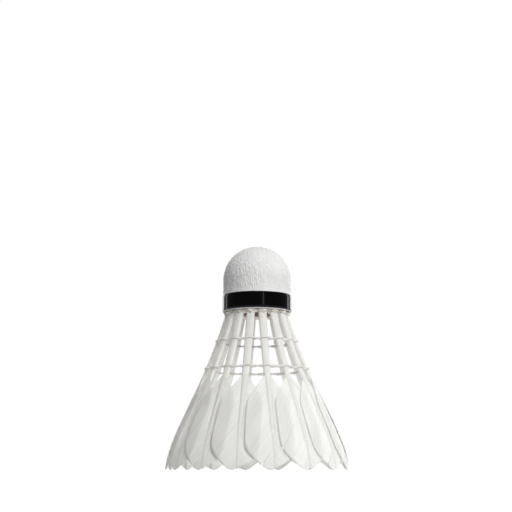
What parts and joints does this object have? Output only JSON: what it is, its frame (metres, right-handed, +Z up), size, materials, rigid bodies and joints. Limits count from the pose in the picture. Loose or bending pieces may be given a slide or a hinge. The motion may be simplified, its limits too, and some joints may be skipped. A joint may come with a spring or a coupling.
{
  "type": "badminton shuttlecock",
  "caption": "Feather badminton shuttlecock: ball-nosed cork base with a black rim tape and a flared skirt of overlapping trimmed feathers tied by two thread rows.",
  "frame": {"origin": "on the axis, in the plane of the feather tips that the shuttlecock stands on", "axes": "+Z up the axis to the nose of the cork; +X towards the shaft of feather_01"},
  "size_m": [0.0672, 0.0672, 0.0834],
  "materials": {
    "cork": "fine-grained natural cork",
    "leather": "thin white coated leather, satin",
    "tape": "glossy black adhesive tape",
    "glue": "dried glue, semi-gloss",
    "thread": "white twisted thread stiffened with glue",
    "feather": "white feather with an ivory shaft"
  },
  "bodies": {
    "root": {"cork_dome": "cork", "cork_drilled_base": "cork", "leather_cover": "leather", "rim_tape": "tape", "glue_bed": "glue", "upper_thread": "thread", "lower_thread": "thread", "feather_01": "feather", "feather_02": "feather", "feather_03": "feather", "feather_04": "feather", "feather_05": "feather", "feather_06": "feather", "feather_07": "feather", "feather_08": "feather", "feather_09": "feather", "feather_10": "feather", "feather_11": "feather", "feather_12": "feather", "feather_13": "feather", "feather_14": "feather", "feather_15": "feather", "feather_16": "feather"}
  },
  "joints": []
}
